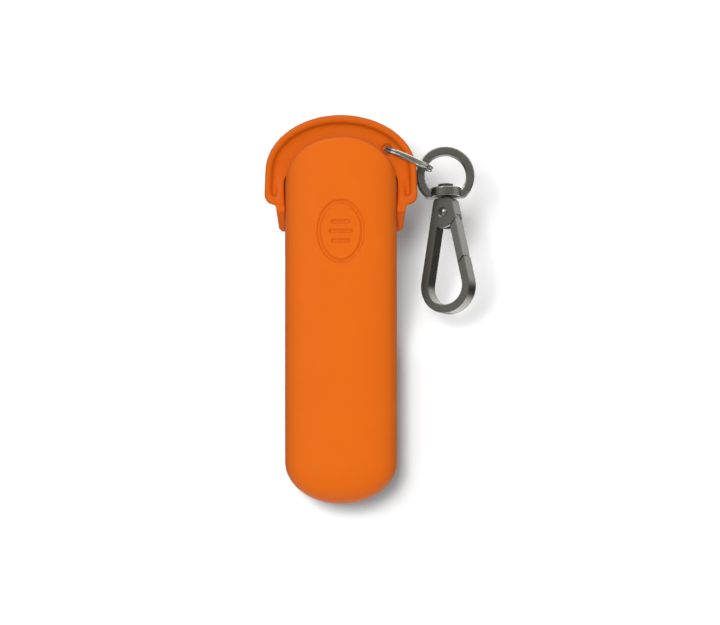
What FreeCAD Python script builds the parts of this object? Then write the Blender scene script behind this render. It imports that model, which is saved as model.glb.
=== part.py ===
import FreeCAD, Part
import math
import os
import Sketcher
from FreeCAD import Placement, Rotation, Vector

# Silicone slip case for a small folding pocket tool: a domed sleeve, a
# flip-over hood with a brim, a two-turn split ring through the brim and a
# swivel snap hook.  Upright: X across, Y front to back (front is -Y), Z up.
# The origin is the middle of the pocket floor inside the sleeve.

os.makedirs("parts", exist_ok=True)
doc = FreeCAD.newDocument("PocketToolCase")

# Driving dimensions in mm and degrees: alias, value, note.
SIZES = [
    # sleeve
    ("sleeve_width", 22.3, "outside width"),
    ("sleeve_depth", 13.0, "outside depth, front to back"),
    ("sleeve_wall", 1.8, "wall and floor"),
    ("sleeve_foot_rise", 8.4, "height of the domed foot"),
    ("sleeve_tongue_spring", 62.7, "height where the front tongue starts to round over"),
    ("sleeve_tongue_rise", 9.4, "height of the tongue's arch, before rounding"),
    ("sleeve_round", 4.5, "rounding of front and back outline"),
    ("mouth_front", 3.6, "mouth cut stops this far in front of the middle plane"),
    ("mouth_side", 62.9, "mouth edge height at the side walls"),
    ("mouth_back", 59.8, "mouth edge height behind the back wall"),
    ("mouth_round", 2.5, "corner of the mouth cut"),
    ("mark_height", 52.5, "height of the pressed mark's centre"),
    ("mark_tall", 11.8, "pressed oval, tall"),
    ("mark_wide", 8.7, "pressed oval, wide"),
    ("mark_line", 0.7, "pressed line width"),
    ("mark_depth", 0.35, "pressed depth"),
    ("bar_long", 3.9, "middle pressed bar length"),
    ("bar_share", 0.78, "outer bars' length as a share of the middle one's"),
    ("bar_gap", 1.9, "pressed bar spacing"),
    # hood
    ("hood_half", 15.1, "half width of the brim where the arch springs"),
    ("hood_flare", 15.3, "half width of the brim at its lower corners"),
    ("hood_spring", 64.5, "height where the brim's arch springs"),
    ("hood_rise", 11.35, "height of the brim's arch"),
    ("hood_low", 57.9, "brim lower edge"),
    ("hood_corner", 2.0, "brim lower corner radius"),
    ("brim_edge", 0.5, "brim edge rounding"),
    ("plate_back", 0.5, "brim plate back face"),
    ("plate_front", 0.7, "brim plate front face, in front of the middle plane"),
    ("rim_front", 2.2, "rim front face, in front of the middle plane"),
    ("rim_side", 1.4, "rim width at the sides"),
    ("rim_top", 1.65, "rim width at the top"),
    ("recess_low", 59.4, "brim recess lower edge"),
    ("recess_corner", 1.0, "brim recess lower corner radius"),
    ("crown_half", 12.75, "crown outside half width"),
    ("crown_gap", 11.35, "crown inside half width"),
    ("crown_spring", 62.7, "height where the crown's arch springs"),
    ("crown_rise", 6.9, "crown arch outside rise"),
    ("crown_hollow", 5.5, "crown arch inside rise"),
    ("crown_front", 2.0, "crown front edge, in front of the middle plane"),
    ("crown_back", 8.2, "crown back face"),
    ("crown_inner_back", 6.8, "crown inside back face"),
    ("crown_round", 5.4, "crown outside back rounding"),
    ("crown_inner_round", 4.4, "crown inside back rounding"),
    ("leg_low", 52.7, "lower end of the legs"),
    ("skirt_low", 58.2, "lower edge of the crown's back"),
    ("skirt_corner", 1.0, "corner between the legs and the skirt"),
    ("pivot_deep", 4.0, "hood pivot behind the middle plane"),
    ("pivot_high", 54.2, "hood pivot height"),
    ("ring_hole_across", 9.2, "brim hole, across"),
    ("ring_hole_high", 69.05, "brim hole, height"),
    ("ring_hole_radius", 1.05, "brim hole radius"),
    # split ring
    ("ring_mean_radius", 4.93, "split ring mean radius"),
    ("ring_strip_wide", 0.8, "split ring wire, radial"),
    ("ring_strip_thick", 0.55, "split ring wire, axial"),
    ("ring_strip_bevel", 0.13, "split ring wire, corner bevel"),
    ("ring_turn_gap", 0.04, "gap between the two turns"),
    ("ring_jog", 50.0, "degrees over which one turn steps to the other"),
    ("ring_jog_place", 118.0, "degrees from the ring's x axis to the middle of the jog"),
    ("ring_short", 14.0, "degrees the strip falls short of two turns"),
    ("ring_across", 13.42, "split ring centre, across"),
    ("ring_deep", 1.6, "split ring centre, depth"),
    ("ring_high", 67.2, "split ring centre, height"),
    ("ring_lean", 23.9, "split ring points this many degrees below level"),
    # swivel eye and pin
    ("clip_across", 20.9, "eye centre, across"),
    ("clip_deep", 1.9, "eye centre, depth"),
    ("clip_high", 63.8, "eye centre, height"),
    ("clip_lean", 8.0, "clip's top leans back this many degrees"),
    ("clip_tilt", 1.4, "clip hangs this many degrees to the right of plumb"),
    ("hook_turn", 30.0, "hook is turned this many degrees on its swivel"),
    ("eye_outer", 5.85, "eye outside radius"),
    ("eye_inner", 4.16, "eye inside radius"),
    ("eye_depth", 2.2, "eye depth"),
    ("eye_edge", 0.32, "eye edge rounding"),
    ("eye_foot", 4.5, "eye is flat this far below its centre"),
    ("barrel_radius", 3.2, "barrel radius"),
    ("barrel_low", 4.4, "barrel bottom below the eye centre"),
    ("barrel_tall", 1.85, "barrel height"),
    ("barrel_edge", 0.28, "barrel edge rounding"),
    ("barrel_bore", 0.8, "barrel bore radius"),
    ("pin_radius", 0.75, "swivel pin radius"),
    ("pin_head", 1.55, "swivel pin head radius"),
    ("pin_head_tall", 1.05, "swivel pin head height"),
    ("pin_head_rim", 0.72, "straight side of the swivel pin head"),
    ("pin_head_low", 2.5, "underside of the pin head below the eye centre"),
    ("pin_low", 5.4, "pin lower end below the eye centre"),
    # hook
    ("head_top", 4.7, "hook head top below the eye centre"),
    ("head_half", 2.05, "hook head half width at the top"),
    ("head_bevel", 0.5, "hook head top corner bevel"),
    ("pin_hole_depth", 0.9, "pin hole depth in the hook head"),
    ("bow_low", 22.4, "bow centre below the eye centre"),
    ("bow_outer", 5.5, "bow outside radius"),
    ("bow_inner", 3.8, "bow inside radius"),
    ("hook_thick", 3.0, "hook thickness"),
    ("hook_edge", 0.18, "hook edge rounding"),
    ("rivet_low", 7.5, "rivet below the eye centre"),
    ("cheek_radius", 3.15, "cheek end radius about the rivet"),
    ("slot_wide", 1.6, "slot between the cheeks"),
    ("slot_radius", 1.95, "slot radius about the rivet"),
    ("slot_sill", 8.15, "slot opens to the side below this"),
    ("slot_left", 1.25, "slot's lower left side, left of the middle"),
    ("slot_low", 12.0, "slot's lower end below the eye centre"),
    ("rivet_radius", 0.65, "rivet shank radius"),
    ("rivet_head", 0.8, "rivet head radius"),
    ("rivet_rim", 0.06, "straight side of the rivet head"),
    ("rivet_dome", 0.42, "rivet head height"),
    ("well_radius", 1.05, "rivet well radius"),
    ("well_depth", 0.3, "rivet well depth"),
    # gate
    ("gate_start", 3.25, "gate's full section starts at this radius about the rivet"),
    ("gate_end_out", 16.6, "gate end at the outside, below the eye centre"),
    ("gate_end_in", 18.1, "gate end at the inside, below the eye centre"),
    ("gate_gap", 0.2, "gap between gate end and nose"),
    ("gate_inset", 0.12, "gate's outside lies this far inside the hook's outline"),
    ("tongue_thick", 1.44, "gate tongue thickness"),
    ("tongue_radius", 1.8, "gate tongue radius about the rivet"),
    ("tongue_slot", 0.8, "spring space in the tongue"),
    ("gate_bore", 0.70, "gate bore radius"),
    # spring
    ("spring_radius", 1.0, "spring coil radius to the wire's centre"),
    ("spring_wire", 0.14, "spring wire radius"),
    ("spring_pitch", 0.31, "spring pitch"),
    ("spring_turns", 1.75, "spring turns"),
    ("spring_start", 200.0, "degrees from the coil's x axis to its first end"),
]
sheet = doc.addObject("Spreadsheet::Sheet", "sizes")
for row, (alias, value, note) in enumerate(SIZES, 1):
    sheet.set("A%d" % row, note)
    sheet.set("B%d" % row, str(value))
    sheet.setAlias("B%d" % row, alias)
doc.recompute()

CASE_THROUGH = 40    # cut length that passes right through the case
HOOK_THROUGH = 6     # cut length that passes right through the swivel hook
CLEAR = 0.5          # a cut's sketch stands this far off the face it enters
HALF_ROUND = 1.00001  # keeps a half circle's radius just over half its chord


class Size:
    """A number together with the sheet expression that makes it."""

    def __init__(self, value, text):
        self.value, self.text = float(value), text

    def _join(self, other, sign, work):
        other = as_size(other)
        return Size(work(self.value, other.value), "(%s %s %s)" % (self.text, sign, other.text))

    def __add__(self, other):
        return self._join(other, "+", float.__add__)

    def __sub__(self, other):
        return self._join(other, "-", float.__sub__)

    def __mul__(self, other):
        return self._join(other, "*", float.__mul__)

    def __truediv__(self, other):
        return self._join(other, "/", float.__truediv__)

    def __neg__(self):
        return as_size(0) - self


def as_size(number):
    return number if isinstance(number, Size) else Size(number, "%.6f" % number)


def size(alias):
    return Size(sheet.get(alias), "sizes." + alias)


def num(alias):
    return size(alias).value


# ------------------------------------------------------------------ sketches
def new_body(name):
    return doc.addObject("PartDesign::Body", name)


def sketch_on(body, name, plane="XZ_Plane", offset=None):
    """Sketch on an origin plane.  XZ_Plane faces the front, so offsets there run to -Y."""
    sketch = body.newObject("Sketcher::SketchObject", name)
    support = [f for f in body.Origin.OriginFeatures if f.Role == plane][0]
    sketch.AttachmentSupport = [(support, "")]
    sketch.MapMode = "FlatFace"
    if offset is not None:
        offset = as_size(offset)
        sketch.AttachmentOffset = Placement(Vector(0, 0, offset.value), Rotation())
        sketch.setExpression("AttachmentOffset.Base.z", offset.text)
    return sketch


def bind(sketch, kind, args, amount):
    amount = as_size(amount)
    index = sketch.addConstraint(Sketcher.Constraint(kind, *args, amount.value))
    sketch.setExpression("Constraints[%d]" % index, amount.text)


def pin_point(sketch, geo, pos, x, y):
    for kind, axis, amount in (("DistanceX", -2, x), ("DistanceY", -1, y)):
        if abs(as_size(amount).value) < 1e-9:
            sketch.addConstraint(Sketcher.Constraint("PointOnObject", geo, pos, axis))
        else:
            bind(sketch, kind, (-1, 1, geo, pos), amount)


def circle_on(sketch, radius, y=0):
    """Circle with its centre on the sketch's vertical axis."""
    centre = Vector(0, as_size(y).value, 0)
    geo = sketch.addGeometry(Part.Circle(centre, Vector(0, 0, 1), as_size(radius).value))
    pin_point(sketch, geo, 3, 0, y)
    bind(sketch, "Radius", (geo,), radius)


def rising(start, end, turn):
    """The two angles in counter-clockwise order."""
    if turn < 0:
        start, end = end, start
    while end <= start:
        end += 2 * math.pi
    return start, end


def chord_centre(x1, y1, x2, y2, radius, turn):
    """Centre of the arc over a chord, on its left (+1) or right (-1)."""
    half = math.hypot(x2 - x1, y2 - y1) / 2
    high = math.sqrt(max(radius ** 2 - half ** 2, 0.0))
    left_x, left_y = -(y2 - y1) / (2 * half), (x2 - x1) / (2 * half)
    return (x1 + x2) / 2 + turn * left_x * high, (y1 + y2) / 2 + turn * left_y * high


def ellipse_arc(x1, y1, x2, y2, middle, across, up):
    """Counter-clockwise elliptic arc about (0, middle)."""
    start = math.atan2((y1 - middle) / up, x1 / across)
    end = math.atan2((y2 - middle) / up, x2 / across)
    centre = Vector(0, middle, 0)
    if across >= up:
        ellipse = Part.Ellipse(centre, across, up)
    else:
        # an upright ellipse counts its angles from the top
        ellipse = Part.Ellipse(Vector(0, middle + up, 0), Vector(-across, middle, 0), centre)
        start, end = start - math.pi / 2, end - math.pi / 2
    return Part.ArcOfEllipse(ellipse, *rising(start, end, +1))


def outline_on(sketch, rows):
    """Closed outline.  A row is x, y and, unless a straight line follows, the
    curve to the next point; turn is +1 counter-clockwise, -1 clockwise:
    ("arc", radius, turn), the shorter arc over the chord,
    ("round", centre y, radius, turn), an arc about a centre at x = 0,
    ("ellipse", centre y, across, up), counter-clockwise about x = 0."""
    ends = []
    places = [(as_size(row[0]).value, as_size(row[1]).value) for row in rows]
    for i, row in enumerate(rows):
        (x1, y1), (x2, y2) = places[i], places[(i + 1) % len(rows)]
        turn = +1
        if len(row) == 2:
            geo = sketch.addGeometry(Part.LineSegment(Vector(x1, y1, 0), Vector(x2, y2, 0)))
        elif row[2][0] == "ellipse":
            middle, across, up = [as_size(v).value for v in row[2][1:]]
            geo = sketch.addGeometry(ellipse_arc(x1, y1, x2, y2, middle, across, up))
        else:
            radius, turn = as_size(row[2][-2]), row[2][-1]
            if row[2][0] == "arc":
                cx, cy = chord_centre(x1, y1, x2, y2, radius.value, turn)
            else:
                cx, cy = 0.0, row[2][1]
            angles = rising(math.atan2(y1 - cy, x1 - cx), math.atan2(y2 - cy, x2 - cx), turn)
            circle = Part.Circle(Vector(cx, cy, 0), Vector(0, 0, 1), radius.value)
            geo = sketch.addGeometry(Part.ArcOfCircle(circle, *angles))
            bind(sketch, "Radius", (geo,), radius)
        ends.append((geo, 1, 2) if turn > 0 else (geo, 2, 1))
    for i, (geo, _, last) in enumerate(ends):
        following, first, _ = ends[(i + 1) % len(ends)]
        sketch.addConstraint(Sketcher.Constraint("Coincident", geo, last, following, first))
    for (geo, first, _), row in zip(ends, rows):
        pin_point(sketch, geo, first, row[0], row[1])


def outline_sketch(body, name, rows, plane="XZ_Plane", offset=None):
    sketch = sketch_on(body, name, plane, offset)
    outline_on(sketch, rows)
    return sketch


def circle_sketch(body, name, radius, y=0, plane="XZ_Plane", offset=None):
    sketch = sketch_on(body, name, plane, offset)
    circle_on(sketch, radius, y)
    return sketch


# ------------------------------------------------------------------ features
def extrude(body, kind, name, sketch, length, symmetric, reverse):
    f = body.newObject(kind, name)
    f.Profile = sketch
    if symmetric:
        f.SideType = "Symmetric"
    f.Reversed = reverse
    length = as_size(length)
    f.Length = length.value
    f.setExpression("Length", length.text)
    doc.recompute()
    return f


def pad(body, name, sketch, length, symmetric=False):
    return extrude(body, "PartDesign::Pad", name, sketch, length, symmetric, False)


def pocket(body, name, sketch, length, symmetric=False, reverse=False):
    before = body.Shape.Volume
    f = extrude(body, "PartDesign::Pocket", name, sketch, length, symmetric, reverse)
    if not f.Shape.Volume < before - 1e-6:
        raise RuntimeError(name + " removes nothing")
    return f


def fillet(body, name, base, radius, keep):
    edges = ["Edge%d" % i for i, edge in enumerate(base.Shape.Edges, 1) if keep(edge)]
    f = body.newObject("PartDesign::Fillet", name)
    f.Base = (base, edges)
    f.Radius = radius.value
    f.setExpression("Radius", radius.text)
    doc.recompute()
    if f.Shape.isNull() or not f.Shape.isValid():
        raise RuntimeError(name + " failed on %d edges" % len(edges))
    return f


def revolve(body, name, sketch):
    f = body.newObject("PartDesign::Revolution", name)
    f.Profile = sketch
    f.ReferenceAxis = (sketch, ["V_Axis"])
    f.Angle = 360.0
    doc.recompute()


def in_planes_y(edge, *levels):
    """Whether the edge lies wholly in one of the planes at these depths."""
    box = edge.BoundBox
    return any(abs(box.YMin - y) < 1e-4 and abs(box.YMax - y) < 1e-4 for y in levels)


def is_circle(edge):
    return edge.Curve.TypeId == "Part::GeomCircle"


def boolean(kind, name, base, tool):
    f = doc.addObject(kind, name)
    f.Base, f.Tool = base, tool
    doc.recompute()
    return f


def dome_radius(half, rise):
    """Radius of the sphere over a disc of this half width."""
    return (half * half + rise * rise) / (rise * 2)


def sweep(points, section, binormal=None):
    """Solid swept along a smooth curve through the points."""
    curve = Part.BSplineCurve()
    curve.interpolate(points)
    shell = Part.BRepOffsetAPI.MakePipeShell(Part.Wire([curve.toShape()]))
    if binormal:
        shell.setBiNormalMode(binormal)
    else:
        shell.setFrenetMode(True)
    shell.add(section, False, False)
    shell.build()
    shell.makeSolid()
    return shell.shape()


# -------------------------------------------------------------------- sleeve
def press_mark(body):
    """An upright oval line with three short level bars, pressed into the front."""
    sketch = sketch_on(body, "mark_outline", offset=size("sleeve_depth") / 2 + CLEAR)
    middle, line_half = size("mark_height"), size("mark_line") / 2
    for grow in (+1, -1):
        tall = size("mark_tall") / 2 + line_half * grow
        wide = size("mark_wide") / 2 + line_half * grow
        side = ("ellipse", middle, wide, tall)
        outline_on(sketch, [(0, middle + tall, side), (0, middle - tall, side)])
    for step in (-1, 0, 1):
        half = size("bar_long") / 2
        if step != 0:
            half = half * size("bar_share")
        high = middle + size("bar_gap") * step
        end = ("arc", line_half * 1.0005, +1)
        outline_on(sketch, [(-half, high + line_half, end), (-half, high - line_half),
                            (half, high - line_half, end), (half, high + line_half)])
    pocket(body, "mark_cut", sketch, size("mark_depth") + CLEAR)


def sleeve_outer():
    body = new_body("sleeve_outer")
    half, foot, spring = size("sleeve_width") / 2, size("sleeve_foot_rise"), \
        size("sleeve_tongue_spring")
    low = foot - size("sleeve_wall")
    sketch = outline_sketch(body, "sleeve_outline", [
        (-half, spring),
        (-half, low, ("ellipse", low, half, foot)),
        (half, low),
        (half, spring, ("ellipse", spring, half, size("sleeve_tongue_rise")))])
    block = pad(body, "sleeve_block", sketch, size("sleeve_depth"), symmetric=True)
    face = num("sleeve_depth") / 2
    fillet(body, "sleeve_rounding", block, size("sleeve_round"),
           lambda e: in_planes_y(e, -face, face))

    # side view of the mouth cut: depth, height
    front, corner, side = size("mouth_front"), size("mouth_round"), size("mouth_side")
    behind, above = 9, 80
    sketch = outline_sketch(body, "mouth_outline", [
        (-front, above), (-front, side + corner, ("arc", corner, +1)), (-front + corner, side),
        (behind, size("mouth_back")), (behind, above)], "YZ_Plane")
    pocket(body, "mouth_cut", sketch, CASE_THROUGH, symmetric=True)
    press_mark(body)
    return body


def sleeve_core():
    """The hollow of the sleeve, one wall inside it and open above."""
    body = new_body("sleeve_core")
    wall = size("sleeve_wall")
    half, low, above = size("sleeve_width") / 2 - wall, size("sleeve_foot_rise") - wall, 90
    sketch = outline_sketch(body, "core_outline", [
        (-half, above), (-half, low, ("ellipse", low, half, low)), (half, low), (half, above)])
    block = pad(body, "core_block", sketch, size("sleeve_depth") - wall * 2, symmetric=True)
    face = num("sleeve_depth") / 2 - wall.value
    # the top edges stay sharp
    fillet(body, "core_rounding", block, size("sleeve_round") - wall,
           lambda e: in_planes_y(e, -face, face) and e.BoundBox.ZMin < above - 5)
    return body


def make_sleeve():
    shell = boolean("Part::Cut", "sleeve_shell", sleeve_outer(), sleeve_core())
    shell.Label = "sleeve"
    return shell


# ---------------------------------------------------------------------- hood
def arched_rows(half, flare, low, corner, rise):
    """Front view of the brim or its recess: arched above, rounded lower corners."""
    spring, bend = size("hood_spring"), ("arc", corner, +1)
    return [(-half, spring), (-flare, low + corner, bend), (-flare + corner, low),
            (flare - corner, low, bend), (flare, low + corner),
            (half, spring, ("ellipse", spring, half, rise))]


def hood_brim():
    """A plate with a raised rim on its front."""
    body = new_body("hood_brim")
    half, flare, rise = size("hood_half"), size("hood_flare"), size("hood_rise")
    rim_side, rim_front = size("rim_side"), size("rim_front")
    rows = arched_rows(half, flare, size("hood_low"), size("hood_corner"), rise)
    sketch = outline_sketch(body, "brim_outline", rows, offset=-size("plate_back"))
    block = pad(body, "brim_block", sketch, rim_front + size("plate_back"))
    fillet(body, "brim_edge", block, size("brim_edge"),
           lambda e: in_planes_y(e, -rim_front.value, num("plate_back")))
    rows = arched_rows(half - rim_side, flare - rim_side, size("recess_low"),
                       size("recess_corner"), rise - size("rim_top"))
    sketch = outline_sketch(body, "recess_outline", rows, offset=rim_front)
    pocket(body, "recess_cut", sketch, rim_front - size("plate_front"))
    return body


def hood_crown():
    """The arched cap with its legs, still solid."""
    body = new_body("hood_crown")
    half, spring = size("crown_half"), size("crown_spring")
    brim_low, leg_low = size("hood_low"), size("leg_low")
    # the sides flare slightly to the brim's lower edge, then draw in to beveled ends
    flare, draw_in, bevel_in, bevel_up = 0.25, 0.3, 0.8, 0.6
    sketch = outline_sketch(body, "crown_outline", [
        (-half, spring), (-half - flare, brim_low), (-half + draw_in, leg_low + bevel_up),
        (-half + bevel_in, leg_low), (half - bevel_in, leg_low),
        (half - draw_in, leg_low + bevel_up), (half + flare, brim_low),
        (half, spring, ("ellipse", spring, half, size("crown_rise")))],
        offset=-size("crown_back"))
    block = pad(body, "crown_block", sketch, size("crown_back") + size("crown_front"))
    # the back outline above the brim's lower edge
    fillet(body, "crown_rounding", block, size("crown_round"),
           lambda e: in_planes_y(e, num("crown_back"))
           and e.BoundBox.ZMax > brim_low.value + 0.1)
    return body


def hood_hollow():
    """The inside of the crown; it runs out through the brim and below the legs."""
    body = new_body("hood_hollow")
    half, spring, back = size("crown_gap"), size("crown_spring"), size("crown_inner_back")
    below, in_front = 40, 12
    sketch = outline_sketch(body, "hollow_outline", [
        (-half, spring), (-half, below), (half, below),
        (half, spring, ("ellipse", spring, half, size("crown_hollow")))], offset=-back)
    block = pad(body, "hollow_block", sketch, back + in_front)
    # all back edges but the lowest
    fillet(body, "hollow_rounding", block, size("crown_inner_round"),
           lambda e: in_planes_y(e, back.value) and e.BoundBox.ZMax > below + 1)
    return body


def hood_under():
    """Side view of what is cut away around the legs and below the crown's back."""
    body = new_body("hood_under")
    pivot, shoulder = size("pivot_deep"), size("pivot_high") - 0.8
    leg_end = size("leg_low") + 0.001  # just above the crown's flat lower face
    skirt, corner = size("skirt_low"), size("skirt_corner")
    below, in_front, behind, front_high = 40, -12, 14, 57.0
    skirt_front = pivot + 2.1
    sketch = outline_sketch(body, "under_outline", [  # depth, height
        (in_front, below), (in_front, front_high), (-size("crown_front") - 0.6, front_high),
        (pivot - 2.2, shoulder), (pivot - 1.2, leg_end), (pivot + 1.0, leg_end),
        (pivot + 2.0, shoulder), (skirt_front, skirt - corner, ("arc", corner, -1)),
        (skirt_front + corner, skirt), (behind, skirt), (behind, below)], "YZ_Plane")
    pad(body, "under_block", sketch, CASE_THROUGH, symmetric=True)
    return body


def ring_hole():
    hole = doc.addObject("Part::Cylinder", "ring_hole")
    hole.Radius = num("ring_hole_radius")
    hole.setExpression("Radius", "sizes.ring_hole_radius")
    hole.Height = 8
    start = Vector(num("ring_hole_across"), 3, num("ring_hole_high"))
    hole.Placement = Placement(start, Rotation(Vector(1, 0, 0), 90))
    return hole


def hood_straddle():
    """Clears all between the legs below the skirt."""
    body = new_body("hood_straddle")
    half, high, below = size("crown_gap"), size("skirt_low"), 38
    sketch = outline_sketch(body, "straddle_outline", [
        (-half, high), (-half, below), (half, below), (half, high)])
    pad(body, "straddle_block", sketch, CASE_THROUGH, symmetric=True)
    return body


def make_hood():
    shape = boolean("Part::Fuse", "hood_joined", hood_brim(), hood_crown())
    for name, tool in (("hood_opened", hood_hollow), ("hood_legs", hood_under),
                       ("hood_inside", hood_straddle), ("hood_shell", ring_hole)):
        shape = boolean("Part::Cut", name, shape, tool())
    shape.Label = "flip_hood"
    return shape


# ---------------------------------------------------------------- split ring
def make_split_ring():
    """Two flat turns of strip, one on the other, joined by a short jog."""
    mean, jog = num("ring_mean_radius"), num("ring_jog")
    wide, thick = num("ring_strip_wide") / 2, num("ring_strip_thick") / 2
    lift = num("ring_strip_thick") + num("ring_turn_gap")
    total = 2 * 360.0 - num("ring_short")
    middle = total / 2
    steps = 144
    points = []
    for i in range(steps + 1):
        degrees = total * i / steps - middle
        part = min(max(degrees / jog + 0.5, 0.0), 1.0)
        z = lift * (part * part * (3 - 2 * part) - 0.5)
        angle = math.radians(degrees)
        points.append(Vector(mean * math.cos(angle), mean * math.sin(angle), z))

    # beveled strip section at the first end: radial, axial
    wide_flat, thick_flat = wide - num("ring_strip_bevel"), thick - num("ring_strip_bevel")
    corners = [(-wide_flat, -thick), (wide_flat, -thick), (wide, -thick_flat),
               (wide, thick_flat), (wide_flat, thick), (-wide_flat, thick),
               (-wide, thick_flat), (-wide, -thick_flat)]
    angle = math.radians(-middle)
    radial = Vector(math.cos(angle), math.sin(angle), 0)
    loop = [points[0] + radial * out + Vector(0, 0, up) for out, up in corners]
    section = Part.makePolygon(loop + [loop[0]])

    ring = doc.addObject("Part::Feature", "split_ring")
    ring.Shape = sweep(points, section, binormal=Vector(0, 0, 1))
    centre = Vector(num("ring_across"), num("ring_deep"), num("ring_high"))
    ring.Placement = Placement(centre, Rotation(Vector(0, 1, 0), num("ring_lean"))
                               * Rotation(Vector(0, 0, 1), num("ring_jog_place")))
    return ring


# -------------------------------------------------------- swivel eye and pin
# The clip's pieces are drawn about the eye centre; those below turn on the swivel.
CLIP = Placement(Vector(num("clip_across"), num("clip_deep"), num("clip_high")),
                 Rotation(Vector(0, 1, 0), -num("clip_tilt"))
                 * Rotation(Vector(1, 0, 0), -num("clip_lean")))
HOOKED = CLIP * Placement(Vector(0, 0, 0), Rotation(Vector(0, 0, 1), -num("hook_turn")))


def make_swivel_eye():
    """A round eye, flat below, on a bored barrel."""
    body = new_body("swivel_eye")
    sketch = circle_sketch(body, "eye_outline", size("eye_outer"))
    circle_on(sketch, size("eye_inner"))
    base = pad(body, "eye_ring", sketch, size("eye_depth"), symmetric=True)
    fillet(body, "eye_rounding", base, size("eye_edge"), is_circle)
    foot, beyond = -size("eye_foot"), 8
    sketch = outline_sketch(body, "eye_foot_outline", [
        (-beyond, foot), (-beyond, -beyond), (beyond, -beyond), (beyond, foot)])
    pocket(body, "eye_foot_cut", sketch, HOOK_THROUGH, symmetric=True)

    radius, low, edge = size("barrel_radius"), -size("barrel_low"), size("barrel_edge")
    top, bend = low + size("barrel_tall"), ("arc", edge, +1)
    sketch = outline_sketch(body, "barrel_outline", [
        (0, low), (radius - edge, low, bend), (radius, low + edge),
        (radius, top - edge, bend), (radius - edge, top), (0, top)])
    revolve(body, "barrel", sketch)
    sketch = circle_sketch(body, "bore_outline", size("barrel_bore"), plane="XY_Plane",
                           offset=-1.0)
    pocket(body, "bore", sketch, HOOK_THROUGH)
    body.Placement = CLIP
    return body


def make_swivel_pin():
    body = new_body("swivel_pin")
    radius, head, rim = size("pin_radius"), size("pin_head"), size("pin_head_rim")
    tall, low, seat = size("pin_head_tall"), -size("pin_low"), -size("pin_head_low")
    sketch = outline_sketch(body, "pin_outline", [
        (0, low), (radius, low), (radius, seat), (head, seat),
        (head, seat + rim, ("arc", dome_radius(head, tall - rim), +1)), (0, seat + tall)])
    revolve(body, "pin_turned", sketch)
    body.Placement = HOOKED
    return body


# ---------------------------------------------------------------------- hook
# The hook's straight sides run from the head's top corners, tangent to the bow.
BOW_Z = -num("bow_low")
RIVET_Z = -num("rivet_low")
HEAD_RISE = -num("head_top") - BOW_Z
NORMAL_ANGLE = (math.atan2(HEAD_RISE, num("head_half"))
                - math.acos(num("bow_outer") / math.hypot(num("head_half"), HEAD_RISE)))
# outward normal of the right side line
NORMAL_X, NORMAL_Z = math.cos(NORMAL_ANGLE), math.sin(NORMAL_ANGLE)


def side_x(z, line_radius):
    """x at height z of the right side line this far from the bow centre."""
    return (line_radius - (z - BOW_Z) * NORMAL_Z) / NORMAL_X


def side_below_rivet(line_radius, reach):
    """Point of a right side line at this distance from the rivet, below it."""
    away = line_radius - (RIVET_Z - BOW_Z) * NORMAL_Z
    along = math.sqrt(reach ** 2 - away ** 2)
    return (away * NORMAL_X + along * NORMAL_Z,
            RIVET_Z + away * NORMAL_Z - along * NORMAL_X)


def hook_rows():
    """Front view, clockwise along the head, counter-clockwise round the inside."""
    top, half, bevel = -size("head_top"), size("head_half"), size("head_bevel")
    outer, inner = num("bow_outer"), num("bow_inner")
    shoulder = side_x((top - bevel).value, outer)
    right_x, right_z = side_below_rivet(outer, num("cheek_radius"))
    left_x, left_z = side_below_rivet(inner, num("cheek_radius"))
    nose_in_z = -num("gate_end_in") - num("gate_gap")
    nose_out_z = -num("gate_end_out") - num("gate_gap")
    inner_z, outer_z = BOW_Z + inner * NORMAL_Z, BOW_Z + outer * NORMAL_Z
    return [
        (-half + bevel, top),
        (half - bevel, top),
        (shoulder, top - bevel),
        (right_x, right_z, ("arc", size("cheek_radius"), -1)),
        (-left_x, left_z),
        (-inner * NORMAL_X, inner_z, ("round", BOW_Z, size("bow_inner"), +1)),
        (inner * NORMAL_X, inner_z),
        (side_x(nose_in_z, inner), nose_in_z),
        (side_x(nose_out_z, outer), nose_out_z),
        (outer * NORMAL_X, outer_z, ("round", BOW_Z, size("bow_outer"), -1)),
        (-outer * NORMAL_X, outer_z),
        (-shoulder, top - bevel),
    ]


def make_hook_body():
    body = new_body("hook_body")
    thick, rivet = size("hook_thick"), -size("rivet_low")
    pad(body, "hook_blank", outline_sketch(body, "hook_outline", hook_rows()), thick,
        symmetric=True)

    # slot between the cheeks: round above the rivet, open to the right below its sill
    radius, sill = size("slot_radius"), -size("slot_sill")
    left, low, beyond = -size("slot_left"), -size("slot_low"), 6
    sketch = outline_sketch(body, "slot_outline", [
        (radius, rivet, ("arc", radius * HALF_ROUND, +1)), (-radius, rivet),
        (-radius, rivet - 1.2), (left, -10.2), (left, low), (beyond, low),
        (beyond, sill), (radius, sill)])
    pocket(body, "slot", sketch, size("slot_wide"), symmetric=True)

    for side, name in ((1, "front"), (-1, "back")):
        sketch = circle_sketch(body, "well_%s_outline" % name, size("well_radius"), rivet,
                               offset=(thick / 2 + CLEAR) * side)
        pocket(body, "well_" + name, sketch, size("well_depth") + CLEAR, reverse=side < 0)
    sketch = circle_sketch(body, "rivet_hole_outline", size("rivet_radius"), rivet)
    pocket(body, "rivet_hole", sketch, HOOK_THROUGH, symmetric=True)
    sketch = circle_sketch(body, "pin_hole_outline", size("pin_radius"), plane="XY_Plane",
                           offset=-size("head_top") + CLEAR)
    base = pocket(body, "pin_hole", sketch, size("pin_hole_depth") + CLEAR)

    # the long outline edges, but not the wells
    face = thick.value / 2
    fillet(body, "hook_rounding", base, size("hook_edge"),
           lambda e: in_planes_y(e, -face, face) and e.Length > 3.5
           and not (is_circle(e) and e.Curve.Radius < 2.0))
    body.Placement = HOOKED
    return body


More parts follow.
